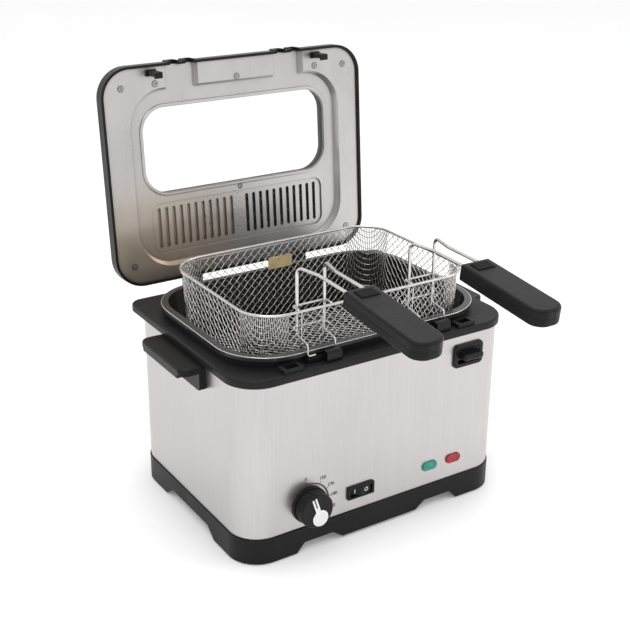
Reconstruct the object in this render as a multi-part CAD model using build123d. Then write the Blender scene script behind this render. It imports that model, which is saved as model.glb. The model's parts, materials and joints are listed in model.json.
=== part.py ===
from build123d import *
import math
import os

os.makedirs("parts", exist_ok=True)

# Deep fryer with a hinged lid, a lift-out oil bowl and one wire basket that has
# two handles. Millimetres, +Z up, the front (controls) faces -Y, and the origin
# is on the floor under the middle of the steel casing.

# ---------------------------------------------------------------- driving sizes
CASE_A, CASE_B, CASE_R = 165.0, 121.5, 33.0      # casing half width, half depth, corner
CASE_Z0, CASE_Z1, CASE_T = 30.6, 206.2, 1.0
DECK_A, DECK_FRONT, DECK_BACK = 168.0, -124.5, 131.0
DECK_Z0, DECK_Z1, DECK_SKIN = 201.0, 209.0, 2.6
BOWL_Y = 5.5                                      # the bowl sits a little behind the middle
RIM_A, RIM_B, RIM_R, RIM_Z = 155.0, 112.0, 58.0, 220.3
BOWL_A, BOWL_B, BOWL_R = 147.5, 104.5, 50.5       # inside of the bowl at its mouth
BOWL_FLOOR = 77.0
BASKET_X, BASKET_Y, BASKET_Z = -1.0, -1.5, 258.5  # centre of the rim wire, basket hooked up
BASKET_A, BASKET_B, BASKET_R = 133.0, 94.5, 36.0
BASKET_FLOOR = 162.0
HANDLE_X = (-68.5, 68.0)                          # middle of each basket handle
ARM_Y, ARM_Z, ARM_R, ARM_HALF = -89.0, 302.6, 1.75, 16.0
ARM_NEAR, ARM_ENTRY = 9.7, 300.7                  # half gap and height of the wires at the grip
GRIP_W, GRIP_Y0, GRIP_Y1, GRIP_Z0, GRIP_Z1 = 35.0, -171.0, -285.0, 288.7, 306.2
GRIP_DROOP = 6.0                                  # degrees the grips slope down towards their ends
HINGE_Y, HINGE_Z, HINGE_R = 136.5, 197.5, 2.5
LID_OPEN = 94.5                                   # degrees from closed to the open rest pose
LID_A, LID_FRONT, LID_BACK, LID_R = 166.5, -124.0, 122.0, 34.0
LID_Z0, LID_WALL, LID_TOP = 218.5, 231.5, 245.5   # rim plane, top of the side wall, flat top
LINER_Z, LINER_DEEP, SHEET = 221.0, 229.0, 1.2
WIN_A, WIN_B, WIN_Y, WIN_R = 118.0, 48.0, -26.8, 27.0
WIN_X, VENT_Y = 1.0, 62.0
KNOB_X, KNOB_Z, KNOB_R = -89.5, 55.5, 19.5
SWITCH_X, SWITCH_Z = -26.0, 52.0
LAMP_X, LAMP_Z = (65.4, 97.8), 53.3
LEVER_X, LEVER_Z = 109.5, 176.8
LATCH_X, LATCH_Y = 107.0, -114.5


# ---------------------------------------------------------------- helpers
def slab(a, b, r, z0, z1, x=0.0, y=0.0):
    """A plate with rounded corners from z0 to z1: half width a, half depth b."""
    return Pos(x, y, z0) * extrude(RectangleRounded(2 * a, 2 * b, r), z1 - z0)


def block(x0, x1, y0, y1, z0, z1):
    return Pos((x0 + x1) / 2, (y0 + y1) / 2, (z0 + z1) / 2) * Box(x1 - x0, y1 - y0, z1 - z0)


def taper(a0, b0, r0, z0, a1, b1, r1, z1, x=0.0, y=0.0):
    """A tapered body between two rounded rectangles."""
    return loft([Pos(x, y, z0) * RectangleRounded(2 * a0, 2 * b0, r0),
                 Pos(x, y, z1) * RectangleRounded(2 * a1, 2 * b1, r1)])


def rod(p, q, r):
    """A straight round rod between two points."""
    p, q = Vector(*p), Vector(*q)
    d = q - p
    return Plane(origin=p, z_dir=d) * extrude(Circle(r), d.length)


def wire(points, r, bend):
    """A bent round wire through the points."""
    path = FilletPolyline(*[Vector(*p) for p in points], radius=bend)
    return sweep(Plane(origin=path @ 0, z_dir=path % 0) * Circle(r), path=path)


def loop(a, b, rc, z, r, x=0.0, y=0.0):
    """A closed round wire following a rounded rectangle."""
    path = (Pos(x, y, z) * RectangleRounded(2 * a, 2 * b, rc)).wire()
    start = path @ 0
    return sweep(Plane(origin=start, z_dir=path % 0) * Circle(r), path=path)


def soften(part, edges, r):
    """Round the edges, or leave the part sharp where that radius doesn't fit."""
    for k in (1.0, 0.6, 0.35):
        try:
            out = fillet(edges, r * k)
            if out.is_valid and out.volume > 0:
                return out
        except Exception:
            pass
    return part


def level(part, z, tol=0.01):
    """The edges that lie flat at height z."""
    return [e for e in part.edges()
            if abs(e.bounding_box().min.Z - z) < tol and abs(e.bounding_box().max.Z - z) < tol]


def save(shape, name):
    export_step(shape if isinstance(shape, (Part, Solid)) else Compound(children=list(shape)), f"parts/{name}.step")


def save_many(shapes, name):
    solids = []
    for s in shapes:
        solids += s.solids()
    export_step(Compound(children=solids), f"parts/{name}.step")


def yrod(x, z, r, y0, y1):
    return rod((x, y0, z), (x, y1, z), r)


def panel(x, z, w, h, r, y0, y1):
    """A plate parallel to the front wall: centre x, z, size w by h, from y0 to y1 (y0 < y1)."""
    sk = Plane(origin=(x, y1, z), x_dir=(1, 0, 0), z_dir=(0, -1, 0)) * RectangleRounded(w, h, r)
    return extrude(sk, y1 - y0)


# ---------------------------------------------------------------- base plinth
foot = [(140, 97), (-140, 97), (140, -97), (-140, -97)]
boss = [(156, 40), (-156, 40), (156, -40), (-156, -40)]
plinth = slab(166.3, 122.8, 34.3, 1.5, 30.5)
plinth = soften(plinth, level(plinth, 30.5), 1.0)
plinth -= slab(163.3, 119.8, 31.3, 0, 27.6)
plinth -= slab(158.3, 114.8, 26.3, 27, 31)
corner_floor = slab(163.4, 119.9, 31.4, 2.5, 5.5)
corner_floor -= block(-112, 112, -130, 130, 0, 10)
corner_floor -= block(-180, 180, -66, 66, 0, 10)
plinth += corner_floor
for x, y in boss:
    plinth += Pos(x, y, 18.2) * extrude(Circle(4.2), 9.9)
front_arch = Polyline((-106, 0), (-95, 12), (-60, 12), (-48, 3.4), (48, 3.4), (60, 12), (95, 12), (106, 0), (106, -4), (-106, -4), close=True)
front_cut = extrude(Plane.XZ * make_face(front_arch), 140, both=True)
front_cut = soften(front_cut, front_cut.edges().filter_by(Axis.Y), 3.5)
front_cut -= block(-200, 200, -118.5, 118.5, -10, 40)
side_arch = Polyline((-58, 0), (-42, 13), (42, 13), (58, 0), (58, -4), (-58, -4), close=True)
side_cut = extrude(Plane.YZ * make_face(side_arch), 180, both=True)
side_cut = soften(side_cut, side_cut.edges().filter_by(Axis.X), 4.0)
side_cut -= block(-162, 162, -200, 200, -10, 40)
plinth -= front_cut
plinth -= side_cut
for x, y in foot:
    plinth -= Pos(x, y, 0) * extrude(Circle(3.05), 9)
for x, y in boss:
    plinth -= Pos(x, y, 16) * extrude(Circle(1.55), 14)
save(plinth, "base_plinth")

feet = []
for x, y in foot:
    f = Pos(x, y, 0) * extrude(Circle(8.0), 2.4)
    f = soften(f, level(f, 0), 0.8)
    f += Pos(x, y, 2.4) * extrude(Circle(3.0), 3.4)
    feet.append(f)
save_many(feet, "rubber_feet")

cover = slab(162.8, 119.3, 30.8, 16.0, 18.0)
for i in range(-5, 6):
    cover -= Pos(i * 16, 40, 15) * extrude(SlotOverall(44, 5, rotation=90), 4)
    cover -= Pos(i * 16, -40, 15) * extrude(SlotOverall(44, 5, rotation=90), 4)
for x, y in boss:
    cover -= Pos(x, y, 15) * extrude(Circle(1.9), 4)
for x, y in foot:
    cover -= Pos(x, y, 15) * extrude(Circle(5), 4)
save(cover, "base_cover")

screws = []
for x, y in boss:
    s = Pos(x, y, 13.8) * extrude(Circle(3.4), 2.1)
    s += Pos(x, y, 15.9) * extrude(Circle(1.5), 10)
    s -= Pos(x, y, 13.7) * extrude(Rectangle(4.2, 0.9) + Rectangle(0.9, 4.2), 1.3)
    screws.append(s)
save_many(screws, "base_screws")

# ---------------------------------------------------------------- steel casing
casing = slab(CASE_A, CASE_B, CASE_R, CASE_Z0, CASE_Z1)
casing -= slab(CASE_A - CASE_T, CASE_B - CASE_T, CASE_R - CASE_T, CASE_Z0 - 1, CASE_Z1 + 1)
casing -= yrod(KNOB_X, KNOB_Z, 4.5, -130, -110)
casing -= panel(SWITCH_X, SWITCH_Z, 30.4, 12.4, 1.0, -130, -110)
for x in LAMP_X:
    casing -= panel(x, LAMP_Z, 19.9, 10.9, 5.2, -130, -110)
casing -= panel(LEVER_X, LEVER_Z, 30.5, 18.5, 2.0, -130, -110)
casing -= panel(100, 52, 22.4, 16.4, 4.0, 110, 130)
save(casing, "outer_casing")

# ---------------------------------------------------------------- top frame
outline = (Pos(0, DECK_FRONT + 100) * RectangleRounded(2 * DECK_A, 200, 36)) + (
    Pos(0, DECK_BACK - 90) * RectangleRounded(2 * DECK_A, 180, 14))
frame = Pos(0, 0, DECK_Z0) * extrude(outline, DECK_Z1 - DECK_Z0)
frame = soften(frame, level(frame, DECK_Z1), 2.4)
frame -= slab(CASE_A + 0.3, CASE_B + 0.3, CASE_R + 0.3, DECK_Z0 - 1, DECK_Z1 - DECK_SKIN)
collar = slab(152.5, 109.5, 54.5, DECK_Z1 - 0.5, 218.4, y=BOWL_Y)
collar = soften(collar, level(collar, 218.4), 1.2)
frame += collar
for sx in (-1, 1):
    lug = slab(11.5, 7.0, 2.0, DECK_Z1 - 0.5, 213.2, x=sx * LATCH_X, y=LATCH_Y)
    lug = soften(lug, level(lug, 213.2), 0.9)
    frame += lug
    frame -= slab(7.2, 5.0, 0.8, 200, 220, x=sx * LATCH_X, y=LATCH_Y)
    # raised pads in front of the hinges
    pad = slab(15.0, 4.0, 1.5, DECK_Z1 - 0.5, 211.0, x=sx * 71, y=126.3)
    frame += pad
frame -= slab(149.4, 106.4, 51.6, 195, 225, y=BOWL_Y)
save(frame, "top_frame")

# rests that the basket's hooks stand on, clipped to the deck in front of the bowl
rests = []
for xc in HANDLE_X:
    shelf = block(xc - 18, xc + 17.5, -112.4, -106.4, 209.1, 214.3)
    shelf = soften(shelf, shelf.edges().filter_by(Axis.Z), 1.4)
    front = block(xc + 1, xc + 18.5, -119.0, -110.9, 209.1, 219.6)
    front = soften(front, front.edges().filter_by(Axis.X).group_by(Axis.Z)[-1], 2.6)
    rests.append(shelf + front)
save_many(rests, "hook_rests")

# ---------------------------------------------------------------- carry handles
for name, sx in (("left", -1), ("right", 1)):
    back = block(sx * 165.1, sx * 173.0, -48, 48, 174.5, 200.6) if sx > 0 else block(-173.0, -165.1, -48, 48, 174.5, 200.6)
    back = soften(back, back.edges().filter_by(Axis.X), 3.0)
    lip = block(171.0, 193.0, -48, 48, 193.6, 200.6) if sx > 0 else block(-193.0, -171.0, -48, 48, 193.6, 200.6)
    lip = soften(lip, [e for e in lip.edges().filter_by(Axis.Z) if abs(e.center().X) > 190], 9.0)
    lip = soften(lip, [e for e in level(lip, 200.6)], 2.4)
    nose = block(187.5, 193.0, -39, 39, 190.4, 194.5) if sx > 0 else block(-193.0, -187.5, -39, 39, 190.4, 194.5)
    handle = back + lip + nose
    save(handle, f"carry_handle_{name}")

# ---------------------------------------------------------------- lid release on the front
bezel = panel(LEVER_X, LEVER_Z, 39, 26.5, 5.0, -124.6, -121.6)
bezel = soften(bezel, bezel.faces().sort_by(Axis.Y)[0].edges(), 1.4)
bezel -= panel(LEVER_X, LEVER_Z, 29.0, 17.4, 2.5, -130, -110)
save(bezel, "release_bezel")

lever = panel(LEVER_X, LEVER_Z + 2.0, 28.0, 12.0, 2.0, -124.2, -121.0)
ridge = block(LEVER_X - 13.5, LEVER_X + 13.5, -134.0, -123.5, LEVER_Z - 2.4, LEVER_Z + 4.6)
ridge = soften(ridge, ridge.edges().filter_by(Axis.X).group_by(Axis.Y)[0], 2.2)
ridge = soften(ridge, [e for e in ridge.edges().filter_by(Axis.Z) if e.center().Y < -130], 3.0)
lever += ridge
lever += block(115.5, 120.5, -121.5, -112.0, LEVER_Z - 2, LEVER_Z + 4)
lever += block(115.5, 120.5, -115.0, -112.0, LEVER_Z - 2, 198.0)
save(lever, "release_lever")

slider = block(96.0, 121.0, -109.6, -103.8, 203.0, 205.6)
slider += block(117.0, 121.0, -112.0, -109.0, 203.0, 205.6)
slider -= block(101.5, 112.5, -110.0, -108.6, 202.0, 204.0)
save(slider, "latch_slider")

# ---------------------------------------------------------------- switch, lamps, thermostat
housing = panel(SWITCH_X, SWITCH_Z, 34, 15, 1.6, -124.2, -121.6)
housing = soften(housing, housing.faces().sort_by(Axis.Y)[0].edges(), 0.8)
housing += panel(SWITCH_X, SWITCH_Z, 30.0, 12.0, 0.8, -121.8, -107.0)
housing -= panel(SWITCH_X, SWITCH_Z, 27.6, 10.0, 0.6, -130, -110)
housing -= rod((SWITCH_X, -118.5, SWITCH_Z - 6.5), (SWITCH_X, -118.5, SWITCH_Z + 6.5), 1.25)
for dx in (-9, 0, 9):
    housing += block(SWITCH_X + dx - 0.4, SWITCH_X + dx + 0.4, -107.2, -103.6, SWITCH_Z - 3, SWITCH_Z + 3)
save(housing, "switch_housing")

rock_prof = Polyline((-13.2, -2.6), (0, -6.2), (13.2, -2.6), (11.0, 2.4), (0, 4.6), (-11.0, 2.4), close=True)
rocker = extrude(make_face(rock_prof), 4.7, both=True)
rocker = soften(rocker, rocker.edges().filter_by(Axis.Z), 0.7)
rocker += rod((0, 0, -5.9), (0, 0, 5.9), 1.2)
rocker -= Pos(-7.2, -4.9, 0) * Rot(0, 0, -15.3) * Box(0.9, 1.0, 5.0)
rocker = Pos(SWITCH_X, -118.5, SWITCH_Z) * Rot(0, 0, -8) * rocker
save(rocker, "switch_rocker")

for name, x in (("ready_lamp", LAMP_X[0]), ("power_lamp", LAMP_X[1])):
    lens = panel(x, LAMP_Z, 19.5, 10.5, 5.0, -123.8, -117.0)
    lens = soften(lens, lens.faces().sort_by(Axis.Y)[0].edges(), 1.3)
    save(lens, name)
holders = []
for x in LAMP_X:
    h = panel(x, LAMP_Z, 23.0, 14.0, 5.0, -120.4, -106.0) - panel(x, LAMP_Z, 19.8, 10.8, 5.1, -130, -108.5)
    holders.append(h)
save_many(holders, "lamp_holders")

knob = yrod(KNOB_X, KNOB_Z, KNOB_R + 0.8, -124.6, -122.4)
body = yrod(KNOB_X, KNOB_Z, KNOB_R - 0.6, -138.6, -124.6)
body = soften(body, body.faces().sort_by(Axis.Y)[0].edges(), 1.8)
knob += body
for i in range(24):
    t = math.radians(i * 15)
    knob -= yrod(KNOB_X + (KNOB_R + 0.35) * math.cos(t), KNOB_Z + (KNOB_R + 0.35) * math.sin(t), 1.3, -136.0, -125.2)
knob -= yrod(KNOB_X, KNOB_Z, 3.0, -134.0, -120.0)
point = math.radians(-72)
px, pz = KNOB_X + 8.6 * math.cos(point), KNOB_Z + 8.6 * math.sin(point)
tx, tz = KNOB_X - 16.6 * math.cos(point), KNOB_Z - 16.6 * math.sin(point)
disc = yrod(px, pz, 9.2, -140.2, -137.4)
disc = soften(disc, disc.faces().sort_by(Axis.Y)[0].edges(), 0.8)
tail = Pos((px + tx) / 2, -138.7, (pz + tz) / 2) * Rot(0, math.degrees(-point), 0) * Box(25.2, 2.6, 5.6)
slot = Pos(tx + 5.5 * math.cos(point), -138.7, tz + 5.5 * math.sin(point)) * Rot(0, math.degrees(-point), 0) * Box(11.5, 4.0, 1.5)
pointer = disc + tail - slot
knob -= disc
knob -= tail - slot
save(knob, "thermostat_knob")
save(pointer, "knob_pointer")
shaft = yrod(KNOB_X, KNOB_Z, 3.0, -133.9, -108.0) - block(KNOB_X - 4, KNOB_X + 4, -134.5, -123.0, KNOB_Z + 2.2, KNOB_Z + 4)
save(shaft, "thermostat_shaft")

tbody = panel(KNOB_X, KNOB_Z, 36, 30, 3.0, -120.3, -105.0)
tbody -= yrod(KNOB_X, KNOB_Z, 3.06, -125, -107.5)
for dx in (-8, 8):
    tbody += block(KNOB_X + dx - 3, KNOB_X + dx + 3, -118, -110, KNOB_Z - 21, KNOB_Z - 14.9)
save(tbody, "thermostat_body")

probe = wire([(KNOB_X + 10, -112, KNOB_Z + 15.1), (KNOB_X + 10, -112, 92), (KNOB_X + 10, -101, 96), (KNOB_X + 10, -101, 112)], 0.8, 3.0)
bulb = rod((KNOB_X + 10, -101, 111), (KNOB_X + 10, -101, 170), 1.1)
save(probe + bulb, "thermostat_probe")

# ---------------------------------------------------------------- heating and wiring
shield = slab(156.5, 108.9, 56, 48, 198, y=BOWL_Y) - slab(155.7, 108.1, 55.2, 48.8, 199, y=BOWL_Y)
shield -= block(-110, -50, -104, -101, 80, 108)
for sx in (-1, 1):
    shield -= Pos(sx * 14, 68, 45) * extrude(Circle(5.0), 8)
shield -= block(KNOB_X + 7, KNOB_X + 13, -106, -98, 80, 125)
save(shield, "heat_shield")

heater = loop(96, 62, 36, 70.4, 3.4, y=6)
heater = [heater] + [rod((sx * 14, 68, 66.8), (sx * 14, 68, 34), 3.0) for sx in (-1, 1)]
save_many(heater, "heating_element")

cutout = Pos(0, 6, 66.4) * extrude(Circle(9), 8.0)
cutout += block(-4, 4, -6, 18, 64.4, 66.6)
save(cutout, "thermal_cutout")

term = block(40, 88, 70, 90, 18.1, 32)
for i in range(4):
    term -= Pos(46 + i * 12, 80, 24) * extrude(Circle(2.6), 10)
    term -= block(43.5 + i * 12, 48.5 + i * 12, 84, 92, 22, 28)
save(term, "terminal_block")

looms = [
    rod((64, 68, 24), (64, -100, 24), 2.4),
    rod((-88, -100, 24), (62, -100, 24), 2.4),
    rod((-14, 80, 24), (38, 80, 24), 2.4),
    rod((14, 74, 24), (14, 62, 24), 2.0),
]
save_many(looms, "wiring")

inlet = panel(100, 52, 28, 22, 5, 121.6, 125.2)
inlet += panel(100, 52, 22, 16, 3.8, 115.5, 122)
inlet -= yrod(100, 52, 4.2, 100, 140)
inlet += yrod(100, 52, 7.5, 125, 136) - yrod(100, 52, 4.2, 100, 140)
for k in range(3):
    ring_y = 128 + k * 3
    inlet -= yrod(100, 52, 8.5, ring_y, ring_y + 1.2) - yrod(100, 52, 6.2, ring_y - 1, ring_y + 3)
save(inlet, "cord_inlet")

# ---------------------------------------------------------------- oil bowl
inner = taper(145.3, 102.3, 48.3, BOWL_FLOOR, BOWL_A, BOWL_B, BOWL_R, 222, y=BOWL_Y)
inner = soften(inner, level(inner, BOWL_FLOOR), 9.0)
outer = taper(146.6, 103.6, 49.6, BOWL_FLOOR - 1.4, 148.8, 105.8, 51.8, 219.0, y=BOWL_Y)
outer = soften(outer, level(outer, BOWL_FLOOR - 1.4), 10.0)
flange = slab(RIM_A, RIM_B, RIM_R, 215.4, RIM_Z, y=BOWL_Y)
flange = soften(flange, level(flange, RIM_Z), 1.4)
flange -= slab(RIM_A - 1.6, RIM_B - 1.6, RIM_R - 1.6, 214, 218.8, y=BOWL_Y)
bowl = outer + flange
bowl -= inner
save(bowl, "oil_bowl")

# ---------------------------------------------------------------- basket
save(loop(BASKET_A, BASKET_B, BASKET_R, BASKET_Z, 1.5, x=BASKET_X, y=BASKET_Y), "basket_rim")

MESH_T = 0.5
m_top, m_bot = (131.3, 92.8, 34.3), (128.6, 90.2, 33.0)
net = taper(m_bot[0], m_bot[1], m_bot[2], BASKET_FLOOR, *m_top, BASKET_Z - 0.5, x=BASKET_X, y=BASKET_Y)
net = soften(net, level(net, BASKET_FLOOR), 6.0)
hollow = taper(m_bot[0] - MESH_T, m_bot[1] - MESH_T, m_bot[2] - MESH_T, BASKET_FLOOR + MESH_T,
               m_top[0] - MESH_T, m_top[1] - MESH_T, m_top[2] - MESH_T, BASKET_Z + 0.5, x=BASKET_X, y=BASKET_Y)
hollow = soften(hollow, level(hollow, BASKET_FLOOR + MESH_T), 5.5)
net -= hollow
for xc in HANDLE_X:
    for sx in (-1, 1):
        net -= rod((xc + sx * ARM_HALF, -86, 231.6), (xc + sx * ARM_HALF, -100, 229.3), 1.6)
save(net, "basket_mesh")

frame_wires = []
for xc in HANDLE_X:
    frame_wires.append(wire([(xc - 19, -96.8, 261.2), (xc - 19, -86.0, 261.2), (xc + 19, -86.0, 261.2), (xc + 19, -96.8, 261.2)], 1.1, 2.4))
    frame_wires.append(wire([(xc - 18.9, -93.0, 238.5), (xc - 18.9, -86.0, 238.5), (xc + 18.9, -86.0, 238.5), (xc + 18.9, -93.0, 238.5)], 1.0, 2.2))
    for sx in (-1, 1):
        frame_wires.append(rod((xc + sx * 12.5, -92.6, 256.5), (xc + sx * 12.5, -90.1, 169.0), 0.9))
save_many(frame_wires, "basket_frame")

hooks = []
for xc in HANDLE_X:
    for sx in (-1, 1):
        x = xc + sx * ARM_HALF
        hooks.append(wire([(x, ARM_Y, 240.0), (x, ARM_Y, 231.6), (x, -109.4, 228.0), (x, -109.4, 215.6), (x - sx * 9, -109.4, 215.6)], 1.1, 2.6))
save_many(hooks, "hook_wires")

clip = block(-12, 18.6, 88.4, 89.6, 228.5, 242.5)
clip = soften(clip, clip.edges().filter_by(Axis.Y), 1.5)
save(clip, "mesh_clip")

droop = Pos(0, GRIP_Y0, GRIP_Z1) * Rot(GRIP_DROOP, 0, 0) * Pos(0, -GRIP_Y0, -GRIP_Z1)
for i, name in enumerate(("left", "right")):
    xc = HANDLE_X[i]
    arms = []
    dip = math.radians(GRIP_DROOP)
    for sx in (-1, 1):
        arms.append(wire([(xc + sx * ARM_HALF, ARM_Y, 240.1), (xc + sx * ARM_HALF, ARM_Y, ARM_Z),
                          (xc + sx * ARM_NEAR, -118, ARM_Z - 0.4), (xc + sx * ARM_NEAR, GRIP_Y0, ARM_ENTRY),
                          (xc + sx * ARM_NEAR, GRIP_Y0 - 28 * math.cos(dip), ARM_ENTRY - 28 * math.sin(dip))], ARM_R, 7.5))
    save_many(arms, f"handle_wire_{name}")

    whole = Pos(xc, 0, GRIP_Z0) * extrude(
        make_face(Polyline((-17.5, GRIP_Y0), (17.5, GRIP_Y0), (17.5, GRIP_Y1), (-17.5, GRIP_Y1), close=True)), GRIP_Z1 - GRIP_Z0)
    whole = soften(whole, [e for e in whole.edges().filter_by(Axis.Z) if e.center().Y < GRIP_Y1 + 1], 14.5)
    whole = soften(whole, [e for e in whole.edges().filter_by(Axis.Z) if e.center().Y > GRIP_Y0 - 1], 2.4)
    whole = soften(whole, level(whole, GRIP_Z1), 3.0)
    whole = soften(whole, level(whole, GRIP_Z0), 2.0)
    split = 296.8
    upper = whole & block(xc - 30, xc + 30, -310, -150, split + 0.15, 310)
    lower = whole & block(xc - 30, xc + 30, -310, -150, 280, split - 0.15)
    upper -= block(xc - 10.9, xc + 10.9, -191.4, -176.6, 302.9, 310)
    lower += block(xc - 8, xc + 4, -188.0, -178.0, 284.0, 290.0)
    upper = droop * upper
    lower = droop * lower
    for a in arms:
        upper -= a
    save(upper, f"grip_{name}")
    save(lower, f"grip_cover_{name}")
    button = block(xc - 10.6, xc + 10.6, -191.1, -176.9, 304.6, 306.6)
    for k in range(6):
        button += block(xc - 9.8, xc + 9.8, -190.2 + k * 2.3, -189.0 + k * 2.3, 306.5, 307.4)
    save(droop * button, f"grip_button_{name}")

# ---------------------------------------------------------------- hinge
brackets, pins = [], []
for sx in (-1, 1):
    ears = []
    for x0, x1 in ((56.0, 60.0), (82.4, 86.4)):
        e = block(x0, x1, 129.2, 141.5, 189.0, 200.7)
        e += block(x0, x1, 131.3, 141.5, 200.0, 203.5)
        ears.append(e)
    stop = block(56.0, 86.4, 141.0, 149.0, 188.6, 191.4)
    plate = block(56.0, 86.4, 122.0, 129.8, 189.0, 200.7)
    b = ears[0] + ears[1] + stop + plate
    for x0, x1 in ((56.0, 60.0), (82.4, 86.4)):
        b += block(x0, x1, 139.5, 142.5, 188.6, 196.0)
    if sx < 0:
        b = mirror(b, Plane.YZ)
    b -= rod((sx * 50, HINGE_Y, HINGE_Z), (sx * 92, HINGE_Y, HINGE_Z), HINGE_R)
    brackets.append(b)
    pins.append(rod((sx * 55.2, HINGE_Y, HINGE_Z), (sx * 87.2, HINGE_Y, HINGE_Z), HINGE_R))
save_many(brackets, "hinge_brackets")
save_many(pins, "hinge_pins")

# ---------------------------------------------------------------- lid, drawn closed and then swung open
LID_Y = (LID_FRONT + LID_BACK) / 2
LID_B = (LID_BACK - LID_FRONT) / 2
lid_parts = {}
shell = slab(LID_A, LID_B, LID_R, LID_Z0, LID_WALL, y=LID_Y)
shell += taper(LID_A, LID_B, LID_R, LID_WALL, 152, 108.5, 26, LID_TOP, y=LID_Y)
for xc in HANDLE_X:
    for dx in (-ARM_NEAR, ARM_NEAR):
        bump = block(xc + dx - 7.0, xc + dx + 7.0, LID_FRONT - 1.5, LID_FRONT + 6, LID_Z0, LID_WALL + 1.4)
        bump = soften(bump, bump.edges().filter_by(Axis.Z).group_by(Axis.Y)[0], 1.4)
        shell += bump
hollow = slab(LID_A - 3.0, LID_B - 3.0, LID_R - 3.0, LID_Z0 - 1, LID_WALL, y=LID_Y)
hollow += taper(LID_A - 3.0, LID_B - 3.0, LID_R - 3.0, LID_WALL, 149.5, 106, 24, LID_TOP - 2.6, y=LID_Y)
shell -= hollow
for xc in HANDLE_X:
    for dx in (-ARM_NEAR, ARM_NEAR):
        shell -= block(xc + dx - 4.6, xc + dx + 4.6, LID_FRONT - 5, LID_FRONT + 8, LID_Z0 - 1, 226.2)
        shell -= rod((xc + dx, LID_FRONT - 5, 226.2), (xc + dx, LID_FRONT + 8, 226.2), 4.6)
shell -= slab(WIN_A + 5.2, WIN_B + 5.2, WIN_R + 5.2, 235, 250, x=WIN_X, y=WIN_Y)
for i in range(-7, 8):
    shell -= Pos(i * 12, VENT_Y + 0.5, 240) * extrude(SlotOverall(40, 5, rotation=90), 8)
lid_parts["lid_shell"] = shell

# pressed steel liner: a flat border, a deeper middle, two channels for the handle wires
LA, LB = LID_A - 3.3, LID_B - 3.3


SLOPE = 3.4                                       # sideways run of the pressed steps


def liner_body(grow, z_low, z_high, top):
    s = slab(LA, LB, LID_R - 3.3, z_low, top, y=LID_Y)
    s -= taper(136 + grow, 101.5 + grow, 44 + grow, z_low, 136 + grow - SLOPE, 101.5 + grow - SLOPE, 44 + grow - SLOPE, z_high, x=1.0, y=4.0)
    for xc in (-68.5, 69.0):
        low = Pos(xc, -103, z_low) * Rectangle(2 * (20.3 + grow), 46 + 2 * grow)
        high = Pos(xc, -103, z_high) * Rectangle(2 * (20.3 + grow - SLOPE), 46 + 2 * grow)
        s -= loft([low, high])
    return s


liner = liner_body(0.0, LINER_Z, LINER_DEEP, 234.0)
liner -= liner_body(SHEET, LINER_Z + SHEET, LINER_DEEP + SHEET, 240.0)
liner -= slab(WIN_A, WIN_B, WIN_R, 200, 250, x=WIN_X, y=WIN_Y)
bead = slab(WIN_A + 4.0, WIN_B + 4.0, WIN_R + 4.0, LINER_DEEP - 1.5, LINER_DEEP + 0.3, x=WIN_X, y=WIN_Y)
bead = soften(bead, level(bead, LINER_DEEP - 1.5), 1.2)
bead -= slab(WIN_A + 0.8, WIN_B + 0.8, WIN_R + 0.8, LINER_DEEP - 3, LINER_DEEP + 2, x=WIN_X, y=WIN_Y)
liner += bead
# vent panel, sunk a little, with closed grooves on one side and open slots on the other
liner -= slab(114, 29.5, 12, LINER_DEEP - 1, LINER_DEEP + SHEET + 1, y=VENT_Y)
vent = slab(115.2, 30.7, 13.2, LINER_DEEP, LINER_DEEP + 3.4, y=VENT_Y) - slab(114.0, 29.5, 12.0, LINER_DEEP - 1, LINER_DEEP + 2.2, y=VENT_Y)
for i in range(11):
    x_closed, x_open = -104.0 + i * 9.35, 10.5 + i * 9.35
    vent += slab(3.3, 24.6, 3.2, LINER_DEEP + 3.0, LINER_DEEP + 6.2, x=x_closed, y=VENT_Y)
    vent -= slab(2.2, 23.4, 2.1, LINER_DEEP + 1.0, LINER_DEEP + 5.2, x=x_closed, y=VENT_Y)
    vent -= slab(2.1, 23.4, 2.0, LINER_DEEP + 1.0, LINER_DEEP + 7.0, x=x_open, y=VENT_Y)
liner += vent
lid_screw_at = [(-142, 223, 0), (144.5, 223, 0), (-101.5, 224.5, 0), (105, 224.5, 0), (0.5, 222.5, 0), (-143.5, 23.5, 0), (143.5, 23.5, 0),
                (-68, 9.0, 0), (68, 9.0, 0), (1.5, 93.7, 1)]
for x, v, deep in lid_screw_at:
    z = LINER_DEEP if deep else LINER_Z
    liner -= Pos(x, LID_BACK - v, z - 2) * extrude(Circle(1.9), 8)
lid_parts["lid_liner"] = liner

lscrews = []
for x, v, deep in lid_screw_at:
    z = LINER_DEEP if deep else LINER_Z
    s = Pos(x, LID_BACK - v, z - 0.5) * extrude(Circle(1.8), 5.5)
    head = Pos(x, LID_BACK - v, z - 0.55) * extrude(Circle(2.7 if deep else 3.3), 0.5)
    s += head
    s -= Pos(x, LID_BACK - v, z - 0.7) * extrude(Rectangle(3.6, 0.8) + Rectangle(0.8, 3.6), 0.9)
    lscrews.append(s)
lid_parts["lid_screws"] = lscrews

glass = slab(WIN_A + 4.6, WIN_B + 4.6, WIN_R + 4.6, LINER_DEEP + SHEET + 0.2, LINER_DEEP + SHEET + 4.2, x=WIN_X, y=WIN_Y)
lid_parts["window_glass"] = glass
seal = slab(WIN_A + 4.9, WIN_B + 4.9, WIN_R + 4.9, LINER_DEEP + SHEET + 4.3, LID_TOP - 0.1, x=WIN_X, y=WIN_Y)
seal -= slab(WIN_A + 2.0, WIN_B + 2.0, WIN_R + 2.0, LINER_DEEP, LID_TOP + 3, x=WIN_X, y=WIN_Y)
lid_parts["window_seal"] = seal

mat = slab(51, 25.5, 4, LINER_DEEP + 4.8, LINER_DEEP + 12.6, x=57.3, y=VENT_Y)
lid_parts["grease_filter"] = mat

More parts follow.
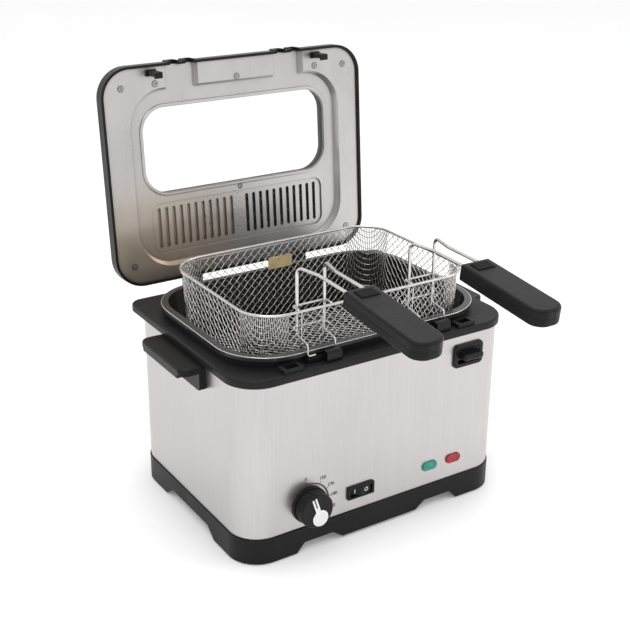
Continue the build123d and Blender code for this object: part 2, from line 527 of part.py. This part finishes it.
grille = slab(96, 27, 8, LID_TOP + 0.05, LID_TOP + 2.2, y=VENT_Y + 1.5)
grille = soften(grille, level(grille, LID_TOP + 2.2), 1.0)
for i in range(-7, 8):
    grille -= Pos(i * 12, VENT_Y + 0.5, 240) * extrude(SlotOverall(38, 3.6, rotation=90), 12)
lid_parts["filter_grille"] = grille

latches = []
for sx in (-1, 1):
    x = sx * LATCH_X - sx * 1.3
    k = block(x - 4.5, x + 4.5, -117.2, -112.4, 199.4, 220.9)
    k += block(x - 6.0, x + 6.0, -118.2, -111.4, 218.6, 220.9)
    k += block(x - 4.5, x + 4.5, -112.6, -110.4, 199.4, 202.4)
    k = soften(k, [e for e in k.edges().filter_by(Axis.X) if e.center().Z < 200], 0.9)
    latches.append(k)
lid_parts["latch_hooks"] = latches

arms3 = []
for sx in (-1, 1):
    prof = Polyline((122.15, 219.2), (122.15, 230.2), (135.5, 230.2), (141.6, 224.0), (141.6, 199.0), (141.2, 195.6), (138.4, 192.6),
                    (134.6, 192.6), (132.2, 194.6), (132.2, 219.2), close=True)
    arm = Pos(sx * 71.2 - 10.8, 0, 0) * extrude(Plane.YZ * make_face(prof), 21.6)
    arm = soften(arm, [e for e in arm.edges().filter_by(Axis.X) if e.center().Z < 196], 1.4)
    arm -= rod((sx * 50, HINGE_Y, HINGE_Z), (sx * 95, HINGE_Y, HINGE_Z), HINGE_R + 0.06)
    arms3.append(arm)
lid_parts["hinge_arms"] = arms3

# swing from closed to the open rest pose about the hinge pin
swing = Pos(0, HINGE_Y, HINGE_Z) * Rot(-LID_OPEN, 0, 0) * Pos(0, -HINGE_Y, -HINGE_Z)
for name, shape in lid_parts.items():
    if isinstance(shape, list):
        save_many([swing * s for s in shape], name)
    else:
        save(swing * shape, name)
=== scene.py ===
import math

import bpy
import json
import numpy as np
from mathutils import Matrix, Vector


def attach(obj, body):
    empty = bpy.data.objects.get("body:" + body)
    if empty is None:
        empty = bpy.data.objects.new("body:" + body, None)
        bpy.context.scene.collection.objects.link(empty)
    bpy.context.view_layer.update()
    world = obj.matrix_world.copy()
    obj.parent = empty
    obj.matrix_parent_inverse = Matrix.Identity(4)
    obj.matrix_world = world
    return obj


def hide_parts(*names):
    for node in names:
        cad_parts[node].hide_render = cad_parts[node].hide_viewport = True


# ------------------------------------------------------------------ camera, first
scene = bpy.context.scene
cam_data = bpy.data.cameras.new("cam")
cam = bpy.data.objects.new("cam", cam_data)
scene.collection.objects.link(cam)
scene.camera = cam
cam_data.lens, cam_data.sensor_width = 66.70, 36.0
cam_data.clip_start, cam_data.clip_end = 0.05, 60.0
right = Vector((0.84258, -0.53852, 0.00791)).normalized()
up = Vector((0.20338, 0.33175, 0.92118))
back = right.cross(up).normalized()
up = back.cross(right).normalized()
cam.matrix_world = Matrix(((right.x, up.x, back.x, -0.64073), (right.y, up.y, back.y, -0.98580),
                           (right.z, up.z, back.z, 0.69839), (0, 0, 0, 1)))
scene.view_settings.view_transform = "Standard"
scene.view_settings.look = "None"

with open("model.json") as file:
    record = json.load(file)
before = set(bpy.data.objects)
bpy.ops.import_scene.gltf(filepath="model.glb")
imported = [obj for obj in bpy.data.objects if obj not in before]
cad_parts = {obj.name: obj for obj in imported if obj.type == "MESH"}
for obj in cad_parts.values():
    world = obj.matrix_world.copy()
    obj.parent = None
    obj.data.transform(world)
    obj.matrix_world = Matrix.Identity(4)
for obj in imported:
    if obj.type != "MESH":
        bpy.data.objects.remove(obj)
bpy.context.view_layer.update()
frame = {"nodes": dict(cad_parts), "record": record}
N = frame["nodes"]


# ------------------------------------------------------------------ materials
def tree(name):
    m = bpy.data.materials.new(name)
    m.use_nodes = True
    nt = m.node_tree
    nt.nodes.clear()
    out = nt.nodes.new("ShaderNodeOutputMaterial")
    b = nt.nodes.new("ShaderNodeBsdfPrincipled")
    nt.links.new(b.outputs[0], out.inputs[0])
    return m, nt, b


def coords(nt, scale=(1, 1, 1)):
    t = nt.nodes.new("ShaderNodeTexCoord")
    mp = nt.nodes.new("ShaderNodeMapping")
    mp.inputs["Scale"].default_value = scale
    nt.links.new(t.outputs["Object"], mp.inputs["Vector"])
    return mp.outputs["Vector"]


def noise(nt, vec, scale, detail=4.0, rough=0.55):
    n = nt.nodes.new("ShaderNodeTexNoise")
    n.inputs["Scale"].default_value = scale
    n.inputs["Detail"].default_value = detail
    n.inputs["Roughness"].default_value = rough
    nt.links.new(vec, n.inputs["Vector"])
    return n.outputs[0]


def ramp(nt, fac, stops):
    r = nt.nodes.new("ShaderNodeValToRGB")
    el = r.color_ramp.elements
    el[0].position, el[0].color = stops[0][0], (*stops[0][1], 1)
    el[1].position, el[1].color = stops[-1][0], (*stops[-1][1], 1)
    for p, c in stops[1:-1]:
        e = el.new(p)
        e.color = (*c, 1)
    nt.links.new(fac, r.inputs[0])
    return r.outputs[0]


def remap(nt, fac, lo, hi, a=0.3, b=0.7):
    m = nt.nodes.new("ShaderNodeMapRange")
    m.inputs["From Min"].default_value, m.inputs["From Max"].default_value = a, b
    m.inputs["To Min"].default_value, m.inputs["To Max"].default_value = lo, hi
    nt.links.new(fac, m.inputs["Value"])
    return m.outputs[0]


def bump(nt, b, height, strength, distance):
    k = nt.nodes.new("ShaderNodeBump")
    k.inputs["Strength"].default_value = strength
    k.inputs["Distance"].default_value = distance
    nt.links.new(height, k.inputs["Height"])
    nt.links.new(k.outputs[0], b.inputs["Normal"])
    return k


def grey(v):
    return (v, v, v)


def plastic(name, dark, light, rough=(0.42, 0.6), grain=900.0, grain_d=0.00025, strength=0.25, spec=0.2, coat=0.0):
    m, nt, b = tree(name)
    big = noise(nt, coords(nt), 14.0, 3.0)
    fine = noise(nt, coords(nt), grain, 2.0, 0.6)
    nt.links.new(ramp(nt, big, [(0.3, dark), (0.7, light)]), b.inputs["Base Color"])
    nt.links.new(remap(nt, big, rough[0], rough[1]), b.inputs["Roughness"])
    b.inputs["Specular IOR Level"].default_value = spec
    b.inputs["Coat Weight"].default_value = coat
    b.inputs["Coat Roughness"].default_value = 0.12
    bump(nt, b, fine, strength, grain_d)
    return m


def metal(name, dark, light, rough=(0.2, 0.32), scale=(1, 1, 1), fine=60.0, strength=0.05, dist=0.0001, aniso=0.0, rot=0.0):
    m, nt, b = tree(name)
    vec = coords(nt, scale)
    fine_n = noise(nt, vec, fine, 5.0, 0.65)
    big = noise(nt, coords(nt), 7.0, 2.0)
    mix = nt.nodes.new("ShaderNodeMath")
    mix.operation = "MULTIPLY_ADD"
    nt.links.new(fine_n, mix.inputs[0])
    mix.inputs[1].default_value = 0.65
    half = nt.nodes.new("ShaderNodeMath")
    half.operation = "MULTIPLY"
    nt.links.new(big, half.inputs[0])
    half.inputs[1].default_value = 0.35
    nt.links.new(half.outputs[0], mix.inputs[2])
    nt.links.new(ramp(nt, mix.outputs[0], [(0.3, dark), (0.7, light)]), b.inputs["Base Color"])
    nt.links.new(remap(nt, mix.outputs[0], rough[0], rough[1]), b.inputs["Roughness"])
    b.inputs["Metallic"].default_value = 1.0
    b.inputs["Anisotropic"].default_value = aniso
    b.inputs["Anisotropic Rotation"].default_value = rot
    bump(nt, b, fine_n, strength, dist)
    return m


MAT = {}
MAT["casing_steel"] = metal("casing_steel", (0.492, 0.470, 0.472), (0.592, 0.567, 0.569), (0.27, 0.35), (330, 330, 2.0), 6.0, 0.05, 0.00005, 0.45, 0.0)
MAT["base_steel"] = metal("base_steel", grey(0.36), grey(0.5), (0.35, 0.5), (1, 1, 1), 30.0)
MAT["screw_steel"] = metal("screw_steel", grey(0.22), grey(0.50), (0.2, 0.36), (1, 1, 1), 700.0, 0.2, 0.0002)
MAT["pin_steel"] = metal("pin_steel", grey(0.4), grey(0.6), (0.2, 0.3), (1, 200, 200), 5.0)
MAT["shield_metal"] = metal("shield_metal", grey(0.5), grey(0.62), (0.35, 0.5), (1, 1, 1), 20.0)
MAT["wire_chrome"] = metal("wire_chrome", (0.50, 0.49, 0.47), (0.70, 0.69, 0.67), (0.16, 0.26), (1, 1, 1), 90.0, 0.06, 0.0001)
MAT["clip_metal"] = metal("clip_metal", (0.78, 0.58, 0.28), (0.97, 0.82, 0.50), (0.34, 0.5), (1, 1, 1), 120.0)
MAT["clip_metal"].node_tree.nodes["Principled BSDF"].inputs["Metallic"].default_value = 0.55
MAT["pointer_chrome"] = metal("pointer_chrome", grey(0.68), grey(0.88), (0.12, 0.22), (1, 1, 1), 150.0)
MAT["liner_steel"] = metal("liner_steel", (0.51, 0.495, 0.492), (0.58, 0.565, 0.562), (0.25, 0.33), (3, 1, 1), 12.0, 0.03, 0.0001, 0.2, 0.0)
MAT["liner_steel"].node_tree.nodes["Principled BSDF"].inputs["Metallic"].default_value = 0.90
# Painted shade: an ambient-occlusion mask darkens the base colour in creases, steps and grooves, towards a warm brown.
def painted_crease_shade(mat, dist, low, tint=(0.62, 0.56, 0.50)):
    nt = mat.node_tree
    b = nt.nodes["Principled BSDF"]
    src = b.inputs["Base Color"].links[0].from_socket
    ao = nt.nodes.new("ShaderNodeAmbientOcclusion")
    ao.inputs["Distance"].default_value = dist
    ao.samples = 8
    mx = nt.nodes.new("ShaderNodeMix")
    mx.data_type = "RGBA"
    mx.blend_type = "MULTIPLY"
    mx.inputs["Factor"].default_value = 1.0
    nt.links.new(src, mx.inputs["A"])
    nt.links.new(ramp(nt, ao.outputs["AO"], [(low, tuple(0.72 * t for t in tint)), (0.90, (1, 1, 1))]), mx.inputs["B"])
    nt.links.new(mx.outputs["Result"], b.inputs["Base Color"])


# painted shade in the liner's creases, steps and vent grooves
painted_crease_shade(MAT["liner_steel"], 0.005, 0.40)


def painted_warm_reflection(mat, colour=(1.12, 0.98, 0.80)):
    """Painted warm reflection on the liner, low on the left."""
    nt = mat.node_tree
    b = nt.nodes["Principled BSDF"]
    src = b.inputs["Base Color"].links[0].from_socket
    sx = nt.nodes.new("ShaderNodeSeparateXYZ")
    nt.links.new(coords(nt), sx.inputs[0])
    fx = nt.nodes.new("ShaderNodeMapRange")
    fx.interpolation_type = "SMOOTHSTEP"
    fx.inputs["From Min"].default_value, fx.inputs["From Max"].default_value = 0.04, -0.11
    nt.links.new(sx.outputs["X"], fx.inputs["Value"])
    fz = nt.nodes.new("ShaderNodeMapRange")
    fz.interpolation_type = "SMOOTHSTEP"
    fz.inputs["From Min"].default_value, fz.inputs["From Max"].default_value = 0.36, 0.24
    nt.links.new(sx.outputs["Z"], fz.inputs["Value"])
    both = nt.nodes.new("ShaderNodeMath")
    both.operation = "MULTIPLY"
    nt.links.new(fx.outputs[0], both.inputs[0])
    nt.links.new(fz.outputs[0], both.inputs[1])
    mx = nt.nodes.new("ShaderNodeMix")
    mx.data_type = "RGBA"
    mx.blend_type = "MULTIPLY"
    nt.links.new(both.outputs[0], mx.inputs["Factor"])
    nt.links.new(src, mx.inputs["A"])
    mx.inputs["B"].default_value = (*colour, 1)
    nt.links.new(mx.outputs["Result"], b.inputs["Base Color"])


# painted warm reflection, low on the left of the liner
painted_warm_reflection(MAT["liner_steel"])
MAT["element_metal"] = metal("element_metal", grey(0.06), grey(0.14), (0.5, 0.7), (1, 1, 1), 60.0)
MAT["deck_plastic"] = plastic("deck_plastic", (0.007, 0.007, 0.008), (0.013, 0.013, 0.014), (0.40, 0.52), 1300.0, 0.0003, 0.30)
MAT["plinth_plastic"] = plastic("plinth_plastic", (0.003, 0.003, 0.0035), (0.007, 0.007, 0.0075), (0.36, 0.5), 1300.0, 0.0003, 0.28)
MAT["grip_plastic"] = plastic("grip_plastic", (0.003, 0.003, 0.0035), (0.007, 0.007, 0.0075), (0.30, 0.42), 900.0, 0.0006, 0.55)
MAT["grip_under"] = plastic("grip_under", (0.003, 0.003, 0.0035), (0.006, 0.006, 0.0065), (0.38, 0.5), 1500.0, 0.0002, 0.22)
MAT["button_plastic"] = plastic("button_plastic", (0.006, 0.006, 0.007), (0.011, 0.011, 0.012), (0.4, 0.55), 1500.0, 0.0002, 0.25)
MAT["gloss_black"] = plastic("gloss_black", (0.004, 0.004, 0.0045), (0.008, 0.008, 0.009), (0.26, 0.36), 500.0, 0.0001, 0.06, 0.22, 0.0)
MAT["switch_plastic"] = plastic("switch_plastic", (0.004, 0.004, 0.0045), (0.008, 0.008, 0.009), (0.24, 0.36), 700.0, 0.0001, 0.1)
MAT["knob_plastic"] = plastic("knob_plastic", (0.005, 0.005, 0.0055), (0.010, 0.010, 0.011), (0.32, 0.44), 1200.0, 0.0002, 0.2)
MAT["hinge_plastic"] = plastic("hinge_plastic", (0.008, 0.008, 0.009), (0.014, 0.014, 0.015), (0.4, 0.55))
MAT["lid_plastic"] = plastic("lid_plastic", (0.005, 0.005, 0.0055), (0.010, 0.010, 0.011), (0.32, 0.44), 1200.0, 0.0002, 0.22)
MAT["control_plastic"] = plastic("control_plastic", (0.42, 0.38, 0.28), (0.55, 0.5, 0.38))
MAT["lamp_housing"] = plastic("lamp_housing", grey(0.5), grey(0.62))
MAT["rubber"] = plastic("rubber", grey(0.012), grey(0.024), (0.6, 0.8), 800.0, 0.0004, 0.4)
MAT["cable_rubber"] = plastic("cable_rubber", (0.02, 0.02, 0.03), (0.05, 0.05, 0.07), (0.5, 0.7))
MAT["seal_rubber"] = plastic("seal_rubber", grey(0.02), grey(0.04), (0.55, 0.7))


def bowl_material():
    m, nt, b = tree("bowl_coating")
    big = noise(nt, coords(nt), 9.0, 3.0)
    fine = noise(nt, coords(nt), 1600.0, 2.0)
    nt.links.new(ramp(nt, big, [(0.3, grey(0.012)), (0.7, grey(0.022))]), b.inputs["Base Color"])
    nt.links.new(remap(nt, big, 0.20, 0.34), b.inputs["Roughness"])
    b.inputs["Specular IOR Level"].default_value = 0.6
    bump(nt, b, fine, 0.12, 0.0001)
    return m


MAT["bowl_coating"] = bowl_material()


def lens(name, deep, bright, glow):
    m, nt, b = tree(name)
    w = nt.nodes.new("ShaderNodeTexWave")
    w.inputs["Scale"].default_value = 260.0
    w.inputs["Distortion"].default_value = 0.5
    nt.links.new(coords(nt), w.inputs["Vector"])
    n = noise(nt, coords(nt), 90.0, 2.0)
    col = ramp(nt, n, [(0.3, deep), (0.7, bright)])
    nt.links.new(col, b.inputs["Base Color"])
    nt.links.new(remap(nt, n, 0.12, 0.22), b.inputs["Roughness"])
    b.inputs["Transmission Weight"].default_value = 0.35
    b.inputs["Subsurface Weight"].default_value = 0.0
    b.inputs["IOR"].default_value = 1.49
    nt.links.new(col, b.inputs["Emission Color"])
    b.inputs["Emission Strength"].default_value = glow
    bump(nt, b, w.outputs[0], 0.25, 0.0003)
    return m


MAT["green_lens"] = lens("green_lens", (0.0, 0.20, 0.15), (0.03, 0.42, 0.32), 0.05)
MAT["red_lens"] = lens("red_lens", (0.28, 0.005, 0.01), (0.55, 0.02, 0.035), 0.05)


def glass_material():
    m, nt, b = tree("window_glass")
    n = noise(nt, coords(nt), 6.0, 2.0)
    nt.links.new(ramp(nt, n, [(0.3, (0.95, 0.96, 0.96)), (0.7, (0.99, 0.99, 0.99))]), b.inputs["Base Color"])
    nt.links.new(remap(nt, n, 0.01, 0.05), b.inputs["Roughness"])
    b.inputs["Transmission Weight"].default_value = 1.0
    b.inputs["IOR"].default_value = 1.45
    return m


MAT["window_glass"] = glass_material()


def felt_material():
    m, nt, b = tree("filter_felt")
    v = nt.nodes.new("ShaderNodeTexVoronoi")
    v.inputs["Scale"].default_value = 520.0
    nt.links.new(coords(nt), v.inputs["Vector"])
    n = noise(nt, coords(nt), 330.0, 3.0)
    spots = nt.nodes.new("ShaderNodeMath")
    spots.operation = "MULTIPLY"
    nt.links.new(remap(nt, v.outputs["Distance"], 1.0, 0.0, 0.18, 0.32), spots.inputs[0])
    nt.links.new(remap(nt, n, 0.0, 1.0, 0.5, 0.6), spots.inputs[1])
    nt.links.new(ramp(nt, spots.outputs[0], [(0.1, grey(0.012)), (0.9, (0.5, 0.48, 0.44))]), b.inputs["Base Color"])
    b.inputs["Roughness"].default_value = 0.95
    bump(nt, b, n, 0.8, 0.001)
    return m


MAT["filter_felt"] = felt_material()


def print_material():
    m, nt, b = tree("print_ink")
    n = noise(nt, coords(nt), 400.0, 2.0)
    nt.links.new(ramp(nt, n, [(0.3, grey(0.03)), (0.7, grey(0.06))]), b.inputs["Base Color"])
    b.inputs["Roughness"].default_value = 0.5
    return m


INK = print_material()


def white_ink():
    m, nt, b = tree("white_ink")
    n = noise(nt, coords(nt), 400.0, 2.0)
    nt.links.new(ramp(nt, n, [(0.3, grey(0.6)), (0.7, grey(0.75))]), b.inputs["Base Color"])
    b.inputs["Roughness"].default_value = 0.5
    return m


WHITE = white_ink()

# ------------------------------------------------------------------ finish the CAD nodes
slots = {s["node"]: s["material_slot"] for s in frame["record"]["subparts"]}
for name, o in N.items():
    o.data.materials.clear()
    o.data.materials.append(MAT[slots[name]])
    for p in o.data.polygons:
        p.use_smooth = True
    o.data.set_sharp_from_angle(angle=math.radians(28))


# ------------------------------------------------------------------ helpers for added pieces
def add(name, verts, faces, mat, body, smooth=True):
    me = bpy.data.meshes.new(name)
    me.from_pydata([tuple(v) for v in verts], [], [tuple(f) for f in faces])
    me.update()
    me.materials.append(mat)
    if smooth:
        for p in me.polygons:
            p.use_smooth = True
    o = bpy.data.objects.new(name, me)
    scene.collection.objects.link(o)
    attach(o, body)
    return o


def tubes(lines, radius, sides):
    """Tubes round polylines; each line is (points, normals) as arrays in metres."""
    verts, faces, base = [], [], 0
    ang = np.arange(sides) * 2 * math.pi / sides + math.pi / sides
    ca, sa = np.cos(ang), np.sin(ang)
    for pts, nor in lines:
        n = len(pts)
        if n < 2:
            continue
        tan = np.gradient(pts, axis=0)
        tan /= np.linalg.norm(tan, axis=1)[:, None] + 1e-12
        bi = np.cross(tan, nor)
        bi /= np.linalg.norm(bi, axis=1)[:, None] + 1e-12
        nn = np.cross(bi, tan)
        ring = pts[:, None, :] + radius * (ca[None, :, None] * nn[:, None, :] + sa[None, :, None] * bi[:, None, :])
        verts.append(ring.reshape(-1, 3))
        i = np.arange(n - 1)[:, None] * sides
        j = np.arange(sides)[None, :]
        k = (j + 1) % sides
        f = np.stack([base + i + j, base + i + k, base + i + sides + k, base + i + sides + j], axis=-1).reshape(-1, 4)
        faces.append(f)
        base += n * sides
    return np.concatenate(verts), np.concatenate(faces)


# ------------------------------------------------------------------ woven wire basket
BX, BY = -1.0, -1.5
A0, B0, R0 = 128.4, 90.0, 32.8           # contour at the floor
A1, B1, R1 = 131.1, 92.6, 34.1           # contour at the rim
Z_FLOOR, Z_TOP, ROUND = 162.6, 258.0, 7.0
PITCH = 6.7


def cloth(u, v):
    """Flat cloth point to (x, y, z, nx, ny, nz): inside the floor outline it stays flat, outside it runs up the wall.
    """
    a, b, r = A0 - ROUND, B0 - ROUND, R0 - ROUND
    cx, cy = a - r, b - r
    qx, qy = np.abs(u) - cx, np.abs(v) - cy
    mx, my = np.maximum(qx, 0), np.maximum(qy, 0)
    dist = np.hypot(mx, my) + np.minimum(np.maximum(qx, qy), 0) - r
    ln = np.hypot(mx, my) + 1e-9
    dx = np.where(ln > 1e-6, mx / ln, 0.0) * np.sign(u)
    dy = np.where(ln > 1e-6, my / ln, 0.0) * np.sign(v)
    side = np.maximum(dist, 0)
    px, py = u - dx * side, v - dy * side
    arc = ROUND * math.pi / 2
    t = np.clip(side / arc, 0, 1) * math.pi / 2
    out = ROUND * np.sin(t)
    rise = ROUND * (1 - np.cos(t)) + np.maximum(side - arc, 0)
    lean = (np.maximum(rise - ROUND, 0)) / (Z_TOP - Z_FLOOR - ROUND)
    out = out + lean * (A1 - A0)
    x = px + dx * out
    y = py + dy * out
    z = Z_FLOOR + rise
    nx, ny, nz = dx * np.sin(t), dy * np.sin(t), -np.cos(t)
    inside = dist <= 0
    nx, ny, nz = np.where(inside, 0, nx), np.where(inside, 0, ny), np.where(inside, -1.0, nz)
    return x, y, z, nx, ny, nz


lines = []
reach = 320.0
step = PITCH / 2
t = np.arange(-reach, reach + 0.01, step)
count = int(reach / PITCH)
for way in (0, 1):
    for k in range(-count, count + 1):
        off = k * PITCH
        c = math.sqrt(0.5)
        if way == 0:
            u, v = (t * c - off * c), (t * c + off * c)
        else:
            u, v = (t * c + off * c), (-t * c + off * c)
        x, y, z, nx, ny, nz = cloth(u, v)
        wave = 0.42 * np.cos(math.pi * t / PITCH + (math.pi * k)) * (1 if way == 0 else -1)
        x, y, z = x + nx * wave, y + ny * wave, z + nz * wave
        ok = z <= Z_TOP + 0.8
        idx = np.where(ok)[0]
        if len(idx) < 2:
            continue
        for run in np.split(idx, np.where(np.diff(idx) > 1)[0] + 1):
            if len(run) < 2:
                continue
            pts = np.stack([x[run] + BX, y[run] + BY, z[run]], axis=1) / 1000.0
            nor = np.stack([nx[run], ny[run], nz[run]], axis=1)
            lines.append((pts, nor))
verts, faces = tubes(lines, 0.00040, 5)
mesh_obj = add("basket_weave", verts, faces, MAT["wire_chrome"], "basket")
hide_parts("basket_mesh")


# ------------------------------------------------------------------ painted highlight round the bowl's flange: a thin bright chrome ring
def rounded_path(a, b, r, z, y0, n=14):
    pts = []
    for sx, sy, a0 in ((1, 1, 0), (-1, 1, 90), (-1, -1, 180), (1, -1, 270)):
        for k in range(n + 1):
            t0 = math.radians(a0 + 90.0 * k / n)
            pts.append((sx * (a - r) + r * math.cos(t0), y0 + sy * (b - r) + r * math.sin(t0), z))
    pts.append(pts[0])
    return np.array(pts) / 1000.0


# painted highlight: the ring stands in for the bright line along the flange's outer edge
edge = rounded_path(154.75, 111.75, 57.75, 219.6, 5.5)
nor = np.tile(np.array([[0.0, 0.0, 1.0]]), (len(edge), 1))
verts, faces = tubes([(edge, nor)], 0.00045, 8)
add("bowl_edge_highlight", verts, faces, MAT["pointer_chrome"], "bowl")

# ------------------------------------------------------------------ shadow rings round the liner's screw heads
def opened(x, y, z):
    """Point of the closed lid, in mm, at rest with the lid turned up."""
    t = math.radians(-94.5)
    dy, dz = y - 136.5, z - 197.5
    return (x / 1000.0, (136.5 + dy * math.cos(t) - dz * math.sin(t)) / 1000.0, (197.5 + dy * math.sin(t) + dz * math.cos(t)) / 1000.0)


rings = []
for x, v, z, r in [(-142, 223, 221.0, 3.3), (144.5, 223, 221.0, 3.3), (-101.5, 224.5, 221.0, 3.3), (105, 224.5, 221.0, 3.3), (0.5, 222.5, 221.0, 3.3),
                   (-143.5, 23.5, 221.0, 3.3), (143.5, 23.5, 221.0, 3.3), (-68, 9.0, 221.0, 3.3), (68, 9.0, 221.0, 3.3), (1.5, 93.7, 229.0, 2.7)]:
    pts = [opened(x + (r + 0.15) * math.cos(k * math.pi / 12), 122 - v + (r + 0.15) * math.sin(k * math.pi / 12), z - 0.1) for k in range(25)]
    rings.append((np.array(pts), np.tile(np.array([[0.0, -1.0, 0.08]]), (25, 1))))
verts, faces = tubes(rings, 0.00038, 6)
add("screw_rings", verts, faces, MAT["element_metal"], "lid")

# ------------------------------------------------------------------ printed dial marks and switch marks
KX, KZ, FACE = -0.0895, 0.0555, -0.12162


def text_piece(name, body_text, x, z, y, size, mat, body, rot=0.0, bold=0.0):
    cu = bpy.data.curves.new(name, "FONT")
    cu.body = body_text
    cu.size = size
    cu.align_x, cu.align_y = "CENTER", "CENTER"
    cu.extrude = 0.00004
    cu.offset = bold
    tmp = bpy.data.objects.new(name + "_t", cu)
    scene.collection.objects.link(tmp)
    bpy.context.view_layer.update()
    me = bpy.data.meshes.new_from_object(tmp.evaluated_get(bpy.context.evaluated_depsgraph_get()))
    bpy.data.objects.remove(tmp)
    me.transform(Matrix.Translation((x, y, z)) @ Matrix.Rotation(math.radians(90), 4, "X") @ Matrix.Rotation(rot, 4, "Z"))
    me.materials.clear()
    me.materials.append(mat)
    o = bpy.data.objects.new(name, me)
    scene.collection.objects.link(o)
    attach(o, body)
    return o


def flat_marks(name, quads, y, mat, body):
    verts, faces = [], []
    for q in quads:
        b0 = len(verts)
        for (x, z) in q:
            verts.append((x, y, z))
        for (x, z) in q:
            verts.append((x, y + 0.00008, z))
        faces += [(b0, b0 + 1, b0 + 2, b0 + 3), (b0 + 7, b0 + 6, b0 + 5, b0 + 4)]
        for i in range(4):
            j = (i + 1) % 4
            faces.append((b0 + j, b0 + i, b0 + 4 + i, b0 + 4 + j))
    return add(name, verts, faces, mat, body, smooth=False)


def radial(x0, z0, ang, r0, r1, w):
    c, s = math.cos(ang), math.sin(ang)
    return [(x0 + r0 * c + w * s, z0 + r0 * s - w * c), (x0 + r1 * c + w * s, z0 + r1 * s - w * c),
            (x0 + r1 * c - w * s, z0 + r1 * s + w * c), (x0 + r0 * c - w * s, z0 + r0 * s + w * c)]


quads = []
for i in range(33):
    a0 = math.radians(150 - i * 5.4)
    a1 = math.radians(150 - (i + 1) * 5.4)
    w = 0.00018 + i * 0.00004
    quads.append([(KX + (0.0232 - w) * math.cos(a0), KZ + (0.0232 - w) * math.sin(a0)),
                  (KX + (0.0232 + w) * math.cos(a0), KZ + (0.0232 + w) * math.sin(a0)),
                  (KX + (0.0232 + w) * math.cos(a1), KZ + (0.0232 + w) * math.sin(a1)),
                  (KX + (0.0232 - w) * math.cos(a1), KZ + (0.0232 - w) * math.sin(a1))])
for a in (98, 58, 30, 5, -22, -46):
    quads.append(radial(KX, KZ, math.radians(a), 0.0246, 0.0270, 0.00034))
flat_marks("dial_arc", quads, FACE, INK, "base")
for a, word in ((98, "0"), (58, "150"), (30, "170"), (5, "180"), (-22, "190")):
    text_piece("dial_" + word, word, KX + 0.0306 * math.cos(math.radians(a)), KZ + 0.0306 * math.sin(math.radians(a)),
               FACE, 0.0054, INK, "base", bold=0.00009)

# on and off marks pressed into the rocker's face
rocker = N["switch_rocker"]
box = [rocker.matrix_world @ Vector(c) for c in rocker.bound_box]
mid_z = (min(c.z for c in box) + max(c.z for c in box)) / 2
lo_x, hi_x = min(c.x for c in box), max(c.x for c in box)
inv = rocker.matrix_world.inverted()
for word, share in (("I", 0.24), ("O", 0.76)):
    start = Vector((lo_x + share * (hi_x - lo_x), -0.2, mid_z))
    hit, place, normal, _ = rocker.ray_cast(inv @ start, Vector((0, 1, 0)))
    if hit:
        at = rocker.matrix_world @ place
        lean = math.atan2(normal.x, -normal.y)
        mark = text_piece("rocker_" + word, word, 0, 0, 0, 0.0062, WHITE, "rocker", bold=0.0001)
        mark.data.transform(Matrix.Translation(at + normal * 0.00003) @ Matrix.Rotation(lean, 4, "Z"))

# ------------------------------------------------------------------ floor, light, world
me = bpy.data.meshes.new("floor")
me.from_pydata([(-9, -9, 0), (9, -9, 0), (9, 9, 0), (-9, 9, 0)], [], [(0, 1, 2, 3)])
floor = bpy.data.objects.new("floor", me)
scene.collection.objects.link(floor)
m, nt, b = tree("floor")
nt.links.new(ramp(nt, noise(nt, coords(nt), 1.2, 2.0), [(0.3, grey(0.93)), (0.7, grey(0.95))]), b.inputs["Base Color"])
b.inputs["Roughness"].default_value = 0.7
b.inputs["Specular IOR Level"].default_value = 0.1
me.materials.append(m)
b.inputs["Emission Color"].default_value = (1, 1, 1, 1)
b.inputs["Emission Strength"].default_value = 0.10

world = bpy.data.worlds.new("world")
scene.world = world
world.use_nodes = True
wt = world.node_tree
bg = wt.nodes["Background"]
wc = wt.nodes.new("ShaderNodeTexCoord")
sep = wt.nodes.new("ShaderNodeSeparateXYZ")
wt.links.new(wc.outputs["Generated"], sep.inputs[0])
tan2 = wt.nodes.new("ShaderNodeMath")
tan2.operation = "ARCTAN2"
wt.links.new(sep.outputs["X"], tan2.inputs[0])
wt.links.new(sep.outputs["Y"], tan2.inputs[1])
turn = wt.nodes.new("ShaderNodeMapRange")
turn.inputs["From Min"].default_value, turn.inputs["From Max"].default_value = -math.pi, math.pi
wt.links.new(tan2.outputs[0], turn.inputs["Value"])
band = wt.nodes.new("ShaderNodeValToRGB")
el = band.color_ramp.elements
stops = [(0.0, 1.0), (0.06, 1.0), (0.10, 0.50), (0.135, 0.50), (0.17, 1.0), (0.205, 0.62), (0.25, 0.86), (0.36, 1.05), (0.64, 1.05), (0.76, 0.85), (0.86, 0.95), (1.0, 1.0)]
el[0].position, el[0].color = stops[0][0], (*grey(stops[0][1]), 1)
el[1].position, el[1].color = stops[-1][0], (*grey(stops[-1][1]), 1)
for p, v in stops[1:-1]:
    e = el.new(p)
    e.color = (*grey(v), 1)
wt.links.new(turn.outputs[0], band.inputs[0])
wt.links.new(band.outputs[0], bg.inputs[0])
bg.inputs[1].default_value = 0.95


def area(name, loc, target, size, power, color=(1, 1, 1), size_y=None):
    d = bpy.data.lights.new(name, "AREA")
    d.shape = "RECTANGLE"
    d.size, d.size_y = size, size_y or size
    d.energy, d.color = power, color
    o = bpy.data.objects.new(name, d)
    scene.collection.objects.link(o)
    o.location = loc
    o.rotation_mode = "QUATERNION"
    o.rotation_quaternion = (Vector(target) - Vector(loc)).to_track_quat("-Z", "Y")
    return o


area("key", (-1.2, -1.3, 2.2), (0, 0, 0.15), 1.2, 16)
area("fill", (1.9, -1.2, 1.3), (0, 0, 0.2), 1.4, 10)
area("top", (0.1, 0.4, 2.4), (0, 0, 0.2), 1.6, 12)
